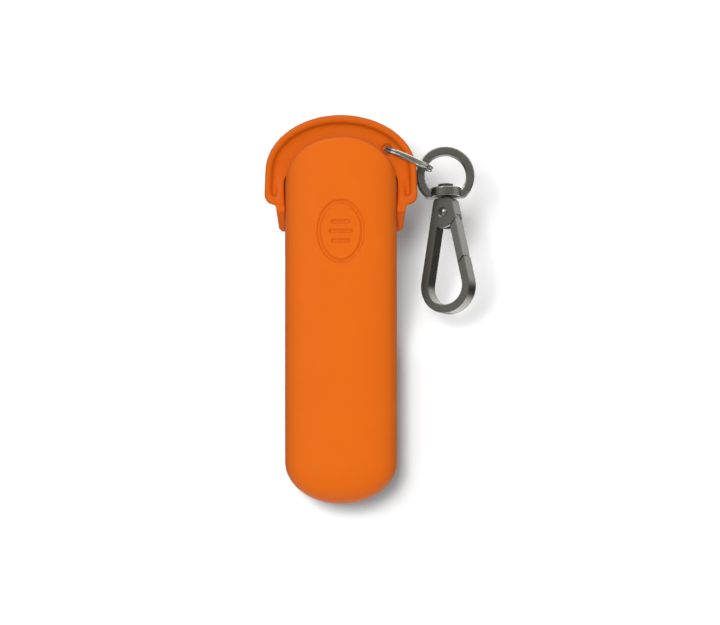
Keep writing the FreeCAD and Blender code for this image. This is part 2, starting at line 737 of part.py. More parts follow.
# ---------------------------------------------------------------------- gate
def make_gate():
    """A full-thickness lever with a thin tongue round the rivet."""
    body = new_body("gate")
    rivet, inner = -size("rivet_low"), num("bow_inner")
    outer = num("bow_outer") - num("gate_inset")
    start_out_x, start_out_z = side_below_rivet(outer, num("gate_start"))
    start_in_x, start_in_z = side_below_rivet(inner, num("gate_start"))
    end_out_z, end_in_z = -num("gate_end_out"), -num("gate_end_in")
    sketch = outline_sketch(body, "lever_outline", [
        (start_out_x, start_out_z, ("arc", size("gate_start"), -1)),
        (start_in_x, start_in_z),
        (side_x(end_in_z, inner), end_in_z),
        (side_x(end_out_z, outer), end_out_z)])
    base = pad(body, "lever", sketch, size("hook_thick"), symmetric=True)
    face = num("hook_thick") / 2
    fillet(body, "lever_rounding", base, size("hook_edge") * 0.9,
           lambda e: in_planes_y(e, -face, face) and not is_circle(e) and e.Length > 5)

    # the tongue leaves its circle this far short of the bottom and sinks into the lever
    leave = math.radians(22)
    sink_in, sink_in_down, sink_out, sink_out_down = 0.05, 0.25, 0.05, 0.6
    radius, shoulder = size("tongue_radius"), -size("slot_sill") - 0.1
    bend = ("arc", radius * HALF_ROUND, +1)
    foot_z = start_out_z - sink_out_down
    sketch = outline_sketch(body, "tongue_outline", [
        (radius, rivet, bend),
        (-radius, rivet, bend),
        (-radius.value * math.sin(leave), RIVET_Z - radius.value * math.cos(leave)),
        (start_in_x + sink_in, start_in_z - sink_in_down),
        (side_x(foot_z, outer) - sink_out, foot_z),
        (side_x(shoulder.value, outer), shoulder),
        (radius, shoulder)])
    pad(body, "tongue", sketch, size("tongue_thick"), symmetric=True)

    left, right, high, low = -3, 1.42, -5, -10.1
    sketch = outline_sketch(body, "spring_space_outline", [
        (left, high), (left, low), (0.4, low), (right, rivet - 1.3), (right, high)])
    pocket(body, "spring_space", sketch, size("tongue_slot"), symmetric=True)
    sketch = circle_sketch(body, "gate_bore_outline", size("gate_bore"), rivet)
    pocket(body, "gate_bore_cut", sketch, 4, symmetric=True)
    body.Placement = HOOKED
    return body


def make_rivet():
    """Turned about its own axis, then laid front to back."""
    body = new_body("gate_rivet")
    shank, head, rim = size("rivet_radius"), size("rivet_head"), size("rivet_rim")
    seat, tall = size("hook_thick") / 2 - size("well_depth"), size("rivet_dome")
    dome = ("arc", dome_radius(head, tall - rim), +1)
    sketch = outline_sketch(body, "rivet_outline", [
        (0, -seat - tall, dome), (head, -seat - rim), (head, -seat), (shank, -seat),
        (shank, seat), (head, seat), (head, seat + rim, dome), (0, seat + tall)])
    revolve(body, "rivet_turned", sketch)
    body.Placement = HOOKED * Placement(Vector(0, 0, RIVET_Z), Rotation(Vector(1, 0, 0), -90))
    return body


def make_spring():
    """A short coil round the rivet with a straight leg at each end."""
    radius, wire = num("spring_radius"), num("spring_wire")
    start, turns = num("spring_start"), num("spring_turns")
    depth = num("spring_pitch") * turns
    steps = 63
    points = []
    for i in range(steps + 1):
        angle = math.radians(start + turns * 360.0 * i / steps)
        points.append(Vector(radius * math.cos(angle), -depth / 2 + depth * i / steps,
                             radius * math.sin(angle)))
    first, last = math.radians(start), math.radians(start + turns * 360.0)
    first_way = Vector(math.sin(first), 0, -math.cos(first))
    last_way = Vector(-math.sin(last), 0, math.cos(last))
    section = Part.Wire([Part.Circle(points[0], first_way, wire).toShape()])
    shape = sweep(points, section)
    # the legs are a little thinner than the wire and start inside the coil
    overlap = 0.12
    for point, way, length in ((points[0], first_way, 1.05), (points[-1], last_way, 0.95)):
        leg = Part.makeCylinder(wire * 0.96, length + overlap, point - way * overlap, way)
        shape = shape.fuse(leg)
    spring = doc.addObject("Part::Feature", "gate_spring")
    spring.Shape = shape
    spring.Placement = HOOKED * Placement(Vector(0, 0, RIVET_Z), Rotation())
    return spring


# -------------------------------------------------------------------- export
nodes = [make_sleeve(), make_hood(), make_split_ring(), make_swivel_eye(), make_swivel_pin(),
         make_hook_body(), make_gate(), make_rivet(), make_spring()]
doc.recompute()
for obj in doc.Objects:
    if "Invalid" in obj.State or "Error" in obj.State:
        raise RuntimeError("%s is %s" % (obj.Label, obj.State))
for obj in nodes:
    shape = obj.Shape
    if shape.isNull() or not shape.isValid() or len(shape.Solids) != 1:
        raise RuntimeError("%s has a bad shape: %d solids" % (obj.Label, len(shape.Solids)))
for obj in nodes:
    obj.Shape.exportStep("parts/%s.step" % obj.Label)
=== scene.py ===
"""An orange silicone sleeve with a flip hood, and its metal ring, swivel and gated hook.

X runs across the sleeve, -Y is the front (the camera's side) and Z is up, with the floor of
the sleeve's pocket at z = 0. Shapes are worked out in millimetres, and MM turns them into
metres. Materials, lights and the camera are in metres.
"""
import math

import bpy
import numpy as np
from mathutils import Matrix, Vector

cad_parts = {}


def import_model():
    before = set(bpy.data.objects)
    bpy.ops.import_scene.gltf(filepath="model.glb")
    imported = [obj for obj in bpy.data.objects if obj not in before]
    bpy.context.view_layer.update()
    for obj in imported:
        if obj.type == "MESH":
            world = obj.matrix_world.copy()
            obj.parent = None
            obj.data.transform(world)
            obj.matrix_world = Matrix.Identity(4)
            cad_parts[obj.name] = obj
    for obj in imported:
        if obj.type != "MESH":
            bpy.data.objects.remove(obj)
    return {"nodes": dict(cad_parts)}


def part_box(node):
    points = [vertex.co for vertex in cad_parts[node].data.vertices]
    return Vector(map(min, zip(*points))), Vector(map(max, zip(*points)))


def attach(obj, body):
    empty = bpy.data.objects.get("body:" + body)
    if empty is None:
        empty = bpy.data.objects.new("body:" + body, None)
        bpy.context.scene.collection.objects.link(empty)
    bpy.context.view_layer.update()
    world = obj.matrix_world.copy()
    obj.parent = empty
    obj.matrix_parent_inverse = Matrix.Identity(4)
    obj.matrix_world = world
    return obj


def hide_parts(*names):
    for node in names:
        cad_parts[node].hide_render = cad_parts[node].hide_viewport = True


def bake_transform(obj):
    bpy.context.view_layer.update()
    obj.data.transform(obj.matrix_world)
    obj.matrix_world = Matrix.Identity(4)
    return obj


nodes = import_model()["nodes"]
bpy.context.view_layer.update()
scene = bpy.context.scene
MM = 0.001

# sleeve, mm
sleeve_lo, sleeve_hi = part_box("sleeve")
HALF_WIDTH, HALF_DEPTH = sleeve_hi.x * 1000, sleeve_hi.y * 1000
FOOT_Z, TONGUE_TIP = sleeve_lo.z * 1000, sleeve_hi.z * 1000
TONGUE_FOOT = 62.7            # where the arch of the front tongue springs from
WALL = 1.8
SQUARENESS = 3.0              # superellipse exponent of the outline
FOOT_DOME = 8.4               # height of the domed foot
POCKET_DOME = FOOT_DOME - WALL
POCKET_STRAIGHT_TOP = 57.0
LIP_RADIUS = 0.78
LIP_ZONE = 1.3                # depth below the lip where rows run parallel to it
INNER_LIP_ZONE = LIP_ZONE + 0.2
LIP_ROWS = 26
LIP_STATIONS = 4000
FINE_STEP = 0.13              # mesh step across the pressed mark
MARK_REACH = 5.4              # finely meshed distance either side of the front's middle
MARK_Z = 52.5

# hood, mm
RING_HOLE_X, RING_HOLE_Z = 9.2, 69.05
BRIM_FRONT = -0.72            # y of the brim plate's front face


# ------------------------------------------------------------------ helpers
def smoothstep(t):
    t = np.clip(t, 0.0, 1.0)
    return t * t * (3 - 2 * t)


def mesh_object(name, vertices, faces, smooth=True):
    mesh = bpy.data.meshes.new(name)
    mesh.from_pydata(vertices, [], faces)
    mesh.update()
    if smooth:
        mesh.shade_smooth()
    return link_object(name, mesh)


def link_object(name, data):
    made = bpy.data.objects.new(name, data)
    scene.collection.objects.link(made)
    return made


def read_array(items, attribute, width, kind):
    """One attribute of a mesh's vertices or edges, a row for each."""
    values = np.zeros(len(items) * width, kind)
    items.foreach_get(attribute, values)
    return values.reshape(-1, width)


def relax(points, edges, rounds, pull=0.5, push=-0.53, weight=None):
    """Taubin smoothing: rounds off steps without shrinking. With push=0 it only smooths."""
    count = len(points)
    first, second = edges[:, 0], edges[:, 1]
    degree = np.zeros(count)
    np.add.at(degree, first, 1)
    np.add.at(degree, second, 1)
    degree = np.maximum(degree, 1)[:, None]
    for _ in range(rounds):
        for factor in (pull, push):
            total = np.zeros_like(points)
            for axis in range(3):
                total[:, axis] = (np.bincount(first, points[second, axis], count)
                                  + np.bincount(second, points[first, axis], count))
            move = factor * (total / degree - points)
            if weight is not None:
                move *= weight[:, None]
            points = points + move
    return points


# ----------------------------------------------------------- sleeve outline
def trace_outline():
    """Distance round the outline from the front's middle towards +X, with the outer wall's
    points and, one wall thickness in, the inner wall's."""
    turn = np.linspace(0, 2 * math.pi, 7201)
    sine, cosine = np.sin(turn), np.cos(turn)
    x = HALF_WIDTH * np.sign(sine) * np.abs(sine) ** (2 / SQUARENESS)
    y = -HALF_DEPTH * np.sign(cosine) * np.abs(cosine) ** (2 / SQUARENESS)
    arc = np.concatenate([[0], np.cumsum(np.hypot(np.diff(x), np.diff(y)))])
    distinct = arc + np.arange(len(arc)) * 1e-12     # no two stations coincide
    dx, dy = np.gradient(x, distinct), np.gradient(y, distinct)
    length = np.hypot(dx, dy)
    return arc, (x, y), (x - dy / length * WALL, y + dx / length * WALL)


ARC, OUTER, INNER = trace_outline()
AROUND = ARC[-1]


def wall_at(wall, distance):
    distance = np.mod(distance, AROUND)
    return np.interp(distance, ARC, wall[0]), np.interp(distance, ARC, wall[1])


def from_side(distance):
    """How far a place on the outline is from the middle of the nearer side wall."""
    distance = np.mod(distance, AROUND)
    return np.minimum(np.abs(distance - AROUND / 4), np.abs(distance - AROUND * 3 / 4))


def place_columns():
    """Distances of the mesh columns: close at the mark and side middles, wider elsewhere."""
    widest = 0.42
    fine = np.arange(-MARK_REACH, MARK_REACH + 0.0001, FINE_STEP)
    rest = [MARK_REACH]
    while rest[-1] < AROUND - MARK_REACH:
        here = rest[-1]
        past_mark = min(here, AROUND - here) - MARK_REACH
        near_mark = FINE_STEP + 0.10 * max(past_mark, 0.0)
        near_side = 0.07 + 0.22 * max(from_side(here) - 0.35, 0.0)
        rest.append(here + min(widest, near_mark, near_side))
    rest = np.array(rest)
    rest = MARK_REACH + (rest - MARK_REACH) * (AROUND - 2 * MARK_REACH) / (rest[-1] - MARK_REACH)
    return np.concatenate([fine, rest[1:-1]])


def lip_curve(columns):
    """Height and slope of the lip at each column, from a smoothed, unrolled curve."""
    side_height, side_fall = 62.9, 0.307
    stations = np.linspace(0, AROUND, LIP_STATIONS + 1)[:-1]
    x, y = wall_at(OUTER, stations)
    arch = np.sqrt(np.clip(1 - (x / (HALF_WIDTH + 0.02)) ** 2, 0, 1))
    tongue = TONGUE_FOOT + (TONGUE_TIP - TONGUE_FOOT) * arch
    side = side_height - side_fall * np.maximum(y + 1.1, -3.0)
    front = smoothstep((-y - 0.2) / 2.7)
    height = side * (1 - front) + np.maximum(tongue, side) * front
    for _ in range(60):
        height = 0.25 * np.roll(height, 1) + 0.5 * height + 0.25 * np.roll(height, -1)
    height += TONGUE_TIP - height.max()
    slope = (np.roll(height, -1) - np.roll(height, 1)) / (2 * AROUND / LIP_STATIONS)
    return (np.interp(columns, stations, height, period=AROUND),
            np.interp(columns, stations, slope, period=AROUND))


# -------------------------------------------------------------- sleeve mesh
def dome_ring(turn):
    """Rise (0 at the pole, 1 at the rim) and the x and y scales of one ring of a dome."""
    rise = 1 - math.cos(turn)
    drop = 1 - rise
    return rise, (1 - drop ** 2.0) ** 0.5, (1 - drop ** 3.0) ** (1 / 2.6)


def lip_profile():
    """Section of the rounded lip: (distance below the lip, depth into the wall)."""
    quarter = [k / 8 * math.pi / 2 for k in range(1, 9)]
    profile = [(LIP_ZONE + (LIP_RADIUS - LIP_ZONE) * k / 3, 0.0) for k in range(1, 4)]
    profile += [(LIP_RADIUS - LIP_RADIUS * math.sin(t), LIP_RADIUS - LIP_RADIUS * math.cos(t))
                for t in quarter]
    profile.append((0.0, WALL / 2))
    profile += [(LIP_RADIUS - LIP_RADIUS * math.cos(t),
                 WALL - LIP_RADIUS + LIP_RADIUS * math.sin(t)) for t in quarter]
    profile.append((INNER_LIP_ZONE, WALL))
    return profile


def sleeve_rows(columns):
    """Rows of the sleeve's mesh, from the foot up the outside, over the lip and down the
    inside. Also returns the number of rows below those that follow the lip."""
    rows = []

    def add_row(x, y, z):
        rows.append((x, y, z + np.zeros(len(columns))))

    outer_x, outer_y = wall_at(OUTER, columns)
    for k in range(1, 30):
        rise, wide, deep = dome_ring((k / 30) ** 1.15 * math.pi / 2)
        add_row(outer_x * wide, outer_y * deep, FOOT_Z + FOOT_DOME * rise)
    heights = np.concatenate([[FOOT_Z + FOOT_DOME + 0.02], np.arange(8.0, 45.6, 0.9),
                              np.arange(45.7, 59.3, FINE_STEP)])
    for z in heights:
        add_row(outer_x, outer_y, z)
    below_lip = len(rows)

    # below the lip the rows lean towards the direction square to its slope
    lip_z, lip_slope = lip_curve(columns)
    length = np.sqrt(1 + lip_slope ** 2)
    down_s, down_z = lip_slope / length, -1 / length
    for k in range(1, LIP_ROWS + 1):
        part = k / LIP_ROWS
        x, y = wall_at(OUTER, columns + down_s * LIP_ZONE * part ** 1.5)
        add_row(x, y, heights[-1] + (lip_z + down_z * LIP_ZONE - heights[-1]) * part)
    for below, depth in lip_profile():
        x1, y1 = wall_at(OUTER, columns + down_s * below)
        x2, y2 = wall_at(INNER, columns + down_s * below)
        inward = depth / WALL
        add_row(x1 * (1 - inward) + x2 * inward, y1 * (1 - inward) + y2 * inward,
                lip_z + down_z * below)

    inner_lip_z = rows[-1][2]
    for k in range(1, 13):
        part = k / 12
        x, y = wall_at(INNER, columns + down_s * INNER_LIP_ZONE * (1 - part) ** 1.5)
        add_row(x, y, inner_lip_z * (1 - part) + POCKET_STRAIGHT_TOP * part)
    inner_x, inner_y = wall_at(INNER, columns)
    for z in np.linspace(POCKET_STRAIGHT_TOP, POCKET_DOME, 26)[1:]:
        add_row(inner_x, inner_y, z)
    for k in range(1, 16):
        rise, wide, deep = dome_ring((1 - k / 16) * math.pi / 2)
        add_row(inner_x * wide, inner_y * deep, POCKET_DOME * rise)
    return rows, below_lip


def mark_relief(x, z):
    """Inward depth of the pressed mark: an upright oval line round three level bars."""
    oval_x, oval_z = 4.35, 5.9
    bars = ((-1.9, 1.52), (0.0, 1.95), (1.9, 1.52))      # (height, half length)
    radius = np.sqrt((x / oval_x) ** 2 + (z / oval_z) ** 2) + 1e-9
    gradient = np.sqrt((x / oval_x ** 2) ** 2 + (z / oval_z ** 2) ** 2) / radius + 1e-9
    distance = np.abs(radius - 1) / gradient
    for height, half in bars:
        distance = np.minimum(distance, np.hypot(x - np.clip(x, -half, half), z - height))
    groove = 1 - smoothstep((distance - 0.20) / 0.34)
    raised_edge = np.exp(-((distance - 0.72) / 0.2) ** 2)
    return 0.36 * groove - 0.035 * raised_edge


def build_sleeve():
    columns = place_columns()
    rows, below_lip = sleeve_rows(columns)
    x, y, z = (np.array(part) for part in zip(*rows))

    outside = slice(0, below_lip)
    front = (y[outside] < -HALF_DEPTH * 0.7).astype(float)
    y[outside] += front * mark_relief(x[outside], z[outside] - MARK_Z)

    # faint parting line down both side walls
    ridge = 0.045 * np.exp(-(from_side(columns) / 0.11) ** 2)
    ridged = slice(0, below_lip + LIP_ROWS - 2)
    x[ridged] += np.sign(x[ridged]) * ridge * np.clip(np.abs(x[ridged]) / HALF_WIDTH, 0, 1)

    vertices = np.stack([x.ravel(), y.ravel(), z.ravel()], 1)
    foot_pole = len(vertices)
    pocket_pole = foot_pole + 1
    vertices = np.vstack([vertices, [[0, 0, FOOT_Z]], [[0, 0, 0.0]]])
    count = len(columns)
    pairs = [(i, (i + 1) % count) for i in range(count)]
    faces = [(r * count + i, r * count + j, (r + 1) * count + j, (r + 1) * count + i)
             for r in range(len(rows) - 1) for i, j in pairs]
    last = (len(rows) - 1) * count
    faces += [(j, i, foot_pole) for i, j in pairs]
    faces += [(last + i, last + j, pocket_pole) for i, j in pairs]
    made = mesh_object("silicone_sleeve", (vertices * MM).tolist(), faces)
    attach(made, "sleeve_body")
    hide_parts("sleeve")
    return made


sleeve = build_sleeve()


# --------------------------------------------------------------------- hood
def hood_source():
    """The hood's own solid, with the hinge blocks and the ring flap added."""
    solid = nodes["flip_hood"].data
    vertices = [tuple(v.co) for v in solid.vertices]
    faces = [tuple(f.vertices) for f in solid.polygons]

    # thin living hinge: at the foot of each leg the moulding runs on into the sleeve's wall
    box = [(0, 1, 3, 2), (4, 6, 7, 5), (0, 4, 5, 1), (2, 3, 7, 6), (0, 2, 6, 4), (1, 5, 7, 3)]
    for side in (-1, 1):
        base = len(vertices)
        vertices += [(side * x * MM, y * MM, z * MM)
                     for x in (10.75, 12.0) for y in (2.9, 5.1) for z in (53.3, 55.1)]
        faces += [tuple(base + i for i in (q if side > 0 else q[::-1])) for q in box]

    # round the split ring the silicone closes up: a thin flap at the back of the brim hole
    base = len(vertices)
    segments, radius = 24, 1.35
    for y in (0.12, 0.46):
        for k in range(segments):
            turn = 2 * math.pi * k / segments
            vertices.append(((RING_HOLE_X + radius * math.cos(turn)) * MM, y * MM,
                             (RING_HOLE_Z + radius * math.sin(turn)) * MM))
    front = [base + k for k in range(segments)]
    back = [i + segments for i in front]
    faces += [(front[k - 1], back[k - 1], back[k], front[k])
              for k in [*range(1, segments), 0]]
    faces += [tuple(front), tuple(reversed(back))]
    return mesh_object("hood_src", vertices, faces, smooth=False)


def bend_hood(x, y, z):
    # the crown's front edge runs out softly into the brim's plate instead of ending in a step
    crown_top = 64.5 + 8.4 * np.sqrt(np.clip(1 - (x / 13.3) ** 2, 0, 1))
    inside = (np.abs(x) < 13.25) & (z < crown_top)
    fade = smoothstep((z - 59.2) / 4.6) * inside
    y = np.where((y < BRIM_FRONT) & inside, y + (BRIM_FRONT - y) * fade * 0.97, y)

    # the legs hug the sleeve's side walls
    hug = (1 - smoothstep((z - 58.0) / 4.5)) * smoothstep((12.3 - np.abs(x)) / 0.7)
    x = x - np.sign(x) * 0.15 * hug * (np.abs(x) > 11.25)

    # above the side walls the opening's edge tucks in behind the tongue
    half_width, rise = 11.35, 5.5
    arch = np.sqrt((x / half_width) ** 2 + (np.maximum(z - TONGUE_FOOT, 0) / rise) ** 2)
    tuck = smoothstep((z - 63.3) / 1.2) * smoothstep((1.12 - arch) / 0.08)
    tuck = tuck * (arch > 0.93) * (y < 2.2)
    x = x - np.sign(x) * 0.55 * tuck * np.clip(np.abs(x) / half_width, 0, 1)
    z = z - 0.35 * tuck * np.clip((z - TONGUE_FOOT) / rise, 0, 1)
    return np.stack([x, y, z], 1)


def rounds(quick, full):
    return full


def rim_foot(points):
    """1 on the front face well inside the hood's outline and clear of the ring's hole."""
    x, y, z = points.T
    middle_z = 60.0
    turn = np.arctan2(z - middle_z, x) + math.pi
    degree = (turn / (2 * math.pi) * 359.999).astype(int)
    reach = np.hypot(x, z - middle_z)
    outline = np.zeros(360)
    np.maximum.at(outline, degree[y < 0.6], reach[y < 0.6])
    outline = np.maximum(outline, np.maximum(np.roll(outline, 1), np.roll(outline, -1)))
    hole = np.hypot(x - RING_HOLE_X, z - RING_HOLE_Z)
    return (smoothstep((outline[degree] - reach - 0.5) / 0.5)
            * smoothstep((hole - 1.5) / 0.6) * (z > 58.5))


def shape_hood(points, edges):
    points = relax(points, edges, rounds(5, 12))
    y, z = points[:, 1], points[:, 2]
    points = relax(bend_hood(points[:, 0], y, z), edges, 4)
    return points


def build_hood():
    """Fine voxels, then smoothing, round every edge the way moulded silicone is."""
    source = hood_source()
    remesh = source.modifiers.new("voxels", "REMESH")
    remesh.mode = "VOXEL"
    remesh.voxel_size = rounds(0.36, 0.19) * MM
    remesh.adaptivity = 0.0
    evaluated = source.evaluated_get(bpy.context.evaluated_depsgraph_get())
    mesh = bpy.data.meshes.new_from_object(evaluated)
    mesh.name = "silicone_hood"
    made = link_object("silicone_hood", mesh)
    bpy.data.objects.remove(source)

    edges = read_array(mesh.edges, "vertices", 2, np.int64)
    points = read_array(mesh.vertices, "co", 3, float) / MM
    points = relax(points, edges, rounds(5, 12))
    bent = bend_hood(*points.T)
    points = relax(bent, edges, 4)
    # the rim is a soft roll, and its inner foot runs softly into the recess
    roll = smoothstep((0.1 - bent[:, 1]) / 0.5) * (bent[:, 2] > 57.5)
    points = relax(points, edges, rounds(8, 22), push=0.0, weight=roll)
    points = relax(points, edges, rounds(8, 34), push=0.0, weight=roll * rim_foot(points))
    # the crown's back is one smooth dome
    dome = smoothstep((points[:, 1] - 1.6) / 2.4) * smoothstep((points[:, 2] - 58.7) / 1.6)
    points = relax(points, edges, rounds(12, 45), push=0.0, weight=dome)

    mesh.vertices.foreach_set("co", (points * MM).ravel())
    mesh.update()
    mesh.shade_smooth()
    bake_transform(made)
    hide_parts("flip_hood")
    return made


del shape_hood
hood = build_hood()


# ------------------------------------------------------------ shader helpers
def wire(tree, target, inputs):
    """Sets each input of a node to a value, or links it where an output is given."""
    for socket, value in inputs.items():
        if isinstance(value, bpy.types.NodeSocket):
            tree.links.new(value, target.inputs[socket])
        else:
            target.inputs[socket].default_value = value


def add_node(tree, kind, inputs=None, **properties):
    made = tree.nodes.new(kind)
    for name, value in properties.items():
        setattr(made, name, value)
    wire(tree, made, inputs or {})
    return made


def calc(tree, operation, one, two, **properties):
    return add_node(tree, "ShaderNodeMath", {0: one, 1: two}, operation=operation,
                    **properties).outputs["Value"]


def remap(tree, value, source=(0.0, 1.0), result=(0.0, 1.0), curve="LINEAR"):
    return add_node(tree, "ShaderNodeMapRange", {
        "Value": value, "From Min": source[0], "From Max": source[1],
        "To Min": result[0], "To Max": result[1]}, interpolation_type=curve).outputs["Result"]


def noise(tree, vector, scale, detail, roughness):
    return add_node(tree, "ShaderNodeTexNoise", {
        "Vector": vector, "Scale": scale, "Detail": detail,
        "Roughness": roughness}).outputs["Fac"]


def blend_colours(tree, factor, one, two):
    return add_node(tree, "ShaderNodeMix", {"A": one, "B": two, "Factor": factor},
                    data_type="RGBA").outputs["Result"]


def new_material(name):
    material = bpy.data.materials.new(name)
    material.use_nodes = True
    tree = material.node_tree
    return material, tree, tree.nodes["Principled BSDF"]


# ---------------------------------------------------------------- materials
def silicone(name, base, deep, crease_shade):
    """Matt silicone, clouded from base towards deep, with painted shade darkening its creases.
    """
    material, tree, shader = new_material(name)
    place = add_node(tree, "ShaderNodeTexCoord").outputs["Object"]
    cloud = noise(tree, place, scale=90.0, detail=3.0, roughness=0.55)
    grain = noise(tree, place, scale=3800.0, detail=2.0, roughness=0.6)
    mottle = noise(tree, place, scale=900.0, detail=3.0, roughness=0.6)
    clouded = blend_colours(tree, remap(tree, cloud, (0.35, 0.75), (0.0, 0.35)),
                            (*base, 1), (*deep, 1))
    # painted shade: creases, found by pointiness, are darkened down to crease_shade
    pointiness = add_node(tree, "ShaderNodeNewGeometry").outputs["Pointiness"]
    painted_crease_shade = remap(tree, pointiness, (0.40, 0.495), (crease_shade, 1.0))
    crease_shaded_colour = add_node(tree, "ShaderNodeVectorMath", {0: clouded, "Scale": painted_crease_shade},
                       operation="SCALE").outputs["Vector"]

    # far bounces and metal reflections see a neutral grey, so the pale stage and the hook
    # stay free of orange
    path = add_node(tree, "ShaderNodeLightPath").outputs
    far = calc(tree, "GREATER_THAN", path["Ray Length"], 0.005)
    far_bounce = calc(tree, "MULTIPLY", far, path["Is Diffuse Ray"])
    indirect = calc(tree, "MAXIMUM", far_bounce, path["Is Glossy Ray"])
    colour = blend_colours(tree, calc(tree, "MULTIPLY", indirect, 0.88),
                           crease_shaded_colour, (0.26, 0.25, 0.235, 1))

    grain_bump = add_node(tree, "ShaderNodeBump", {
        "Strength": 0.10, "Distance": 0.00006, "Height": grain})
    mottle_bump = add_node(tree, "ShaderNodeBump", {
        "Strength": 0.12, "Distance": 0.00012, "Height": mottle,
        "Normal": grain_bump.outputs["Normal"]})
    wire(tree, shader, {
        "Base Color": colour,
        "Roughness": remap(tree, mottle, result=(0.50, 0.64)),
        "Normal": mottle_bump.outputs["Normal"],
        "Specular IOR Level": 0.24,
        "Sheen Weight": 0.03,
        "Sheen Roughness": 0.4,
        "Sheen Tint": (1.0, 0.62, 0.35, 1),
        "Subsurface Weight": 0.10,
        "Subsurface Radius": (1.0, 0.35, 0.1),
        "Subsurface Scale": 0.0012})
    return material


def metal(name, base, rough, brush=0.5, edge=(0.5, 0.49, 0.46), edge_radius=0.00016,
          edge_amount=0.5):
    """Brushed metal whose edges are rounded and lightened towards the edge colour, partly as
    wear and partly as a painted highlight.
    """
    material, tree, shader = new_material(name)
    place = add_node(tree, "ShaderNodeTexCoord").outputs["Object"]
    stretched = add_node(tree, "ShaderNodeMapping", {
        "Scale": (2600.0, 2600.0, 260.0), "Vector": place}).outputs["Vector"]
    brushing = noise(tree, stretched, scale=1.0, detail=3.0, roughness=0.6)
    wear = noise(tree, place, scale=500.0, detail=4.0, roughness=0.65)
    rounded = add_node(tree, "ShaderNodeBevel", {"Radius": edge_radius},
                       samples=6).outputs["Normal"]
    flat = add_node(tree, "ShaderNodeNewGeometry").outputs["Normal"]
    agreement = add_node(tree, "ShaderNodeVectorMath", {0: rounded, 1: flat},
                         operation="DOT_PRODUCT").outputs["Value"]
    # painted highlight and wear: rounded edges, made patchy by the wear noise, are lightened
    # towards the edge colour
    at_edge = remap(tree, agreement, (0.995, 0.90), (0.0, edge_amount))
    worn_and_highlit = calc(tree, "MULTIPLY", at_edge, remap(tree, wear, (0.30, 0.62)))
    bump = add_node(tree, "ShaderNodeBump", {
        "Strength": 0.10 * brush, "Distance": 0.00003, "Height": brushing, "Normal": rounded})
    wire(tree, shader, {
        "Base Color": blend_colours(tree, worn_and_highlit, (*base, 1), (*edge, 1)),
        "Roughness": remap(tree, wear, result=(rough - 0.04, rough + 0.06)),
        "Normal": bump.outputs["Normal"],
        "Metallic": 1.0,
        "Coat Roughness": 0.25})
    return material


sleeve.data.materials.clear()
sleeve.data.materials.append(silicone(
    "silicone_sleeve_mat", base=(0.800, 0.150, 0.0042), deep=(0.745, 0.128, 0.0032),
    crease_shade=0.62))
# painted shade: the hood's silicone is the sleeve's set darker, for the darker light on the hood
hood.data.materials.clear()
hood.data.materials.append(silicone(
    "silicone_hood_painted_shade_mat", base=(0.715, 0.126, 0.0038), deep=(0.665, 0.107, 0.0028),
    crease_shade=0.80))

dark = metal("black_nickel", base=(0.200, 0.193, 0.172), rough=0.25, brush=0.55,
             edge=(0.56, 0.54, 0.49), edge_radius=0.0001)
# painted light: the gate's black nickel is a lighter copy, for its brighter-lit flank
gate_nickel_painted_lighter = metal("black_nickel_gate_painted_lighter", base=(0.228, 0.221, 0.198), rough=0.26, brush=0.55,
                  edge=(0.62, 0.60, 0.55), edge_radius=0.0001, edge_amount=0.6)
dark_eye = metal("black_nickel_eye", base=(0.210, 0.203, 0.181), rough=0.26, brush=0.55,
                 edge=(0.60, 0.58, 0.53), edge_radius=0.0001)
# painted shade: the pin's black nickel is a darker copy, for its dark reflections
pin_nickel_painted_shade = metal("black_nickel_pin_painted_shade", base=(0.105, 0.10, 0.088), rough=0.28, brush=0.6,
                 edge=(0.4, 0.39, 0.36), edge_amount=0.4)
bright = metal("polished_nickel", base=(0.50, 0.485, 0.445), rough=0.15, brush=0.15,
               edge=(0.8, 0.79, 0.76), edge_radius=0.00008, edge_amount=0.15)
rivet_steel = metal("rivet_steel", base=(0.36, 0.35, 0.31), rough=0.26, brush=0.4,
                    edge=(0.8, 0.79, 0.76), edge_radius=0.0001, edge_amount=0.4)
spring_steel = metal("spring_steel", base=(0.55, 0.55, 0.53), rough=0.25, brush=0.4,
                     edge_radius=0.00004, edge_amount=0.2)

pieces = [sleeve, hood]
for name, material in (("split_ring", bright), ("swivel_eye", dark_eye),
                       ("swivel_pin", pin_nickel_painted_shade), ("hook_body", dark), ("gate", gate_nickel_painted_lighter),
                       ("gate_rivet", rivet_steel), ("gate_spring", spring_steel)):
    piece = nodes[name]
    pieces.append(piece)
    for slot in piece.material_slots:
        slot.material = material
    if not piece.material_slots:
        piece.data.materials.append(material)
    # smooth shading kept crisp at the real edges
    piece.data.shade_smooth()
    piece.data.set_sharp_from_angle(angle=math.radians(28))


# -------------------------------------------------------------------- stage
def stage_sheet():
    """A pale sweep: a floor, a cove, a wall just behind the sleeve that steps softly
    back further up, where the hood needs room to flip."""
    floor_z, wall_y, cove, step_back = -76.0, 10.0, 44, 17.5
    profile = [(y, floor_z) for y in (-1600.0, -200.0, -60.0)]
    for k in range(13):
        turn = k / 12 * math.pi / 2
        profile.append((wall_y - cove + cove * math.sin(turn),
                        floor_z + cove - cove * math.cos(turn)))
    for k in range(45):
        z = -28.0 + k * 2.0
        profile.append((wall_y + step_back * smoothstep((z - 27.0) / 25.0), z))
    profile += [(wall_y + step_back, z) for z in (100.0, 660.0)]
    across = [-1600.0, -300.0, 0.0, 300.0, 1600.0]
    vertices = [(x * MM, y * MM, z * MM) for y, z in profile for x in across]
    n = len(across)
    faces = [(i * n + j, i * n + j + 1, (i + 1) * n + j + 1, (i + 1) * n + j)
             for i in range(len(profile) - 1) for j in range(n - 1)]
    return mesh_object("stage_sheet", vertices, faces)


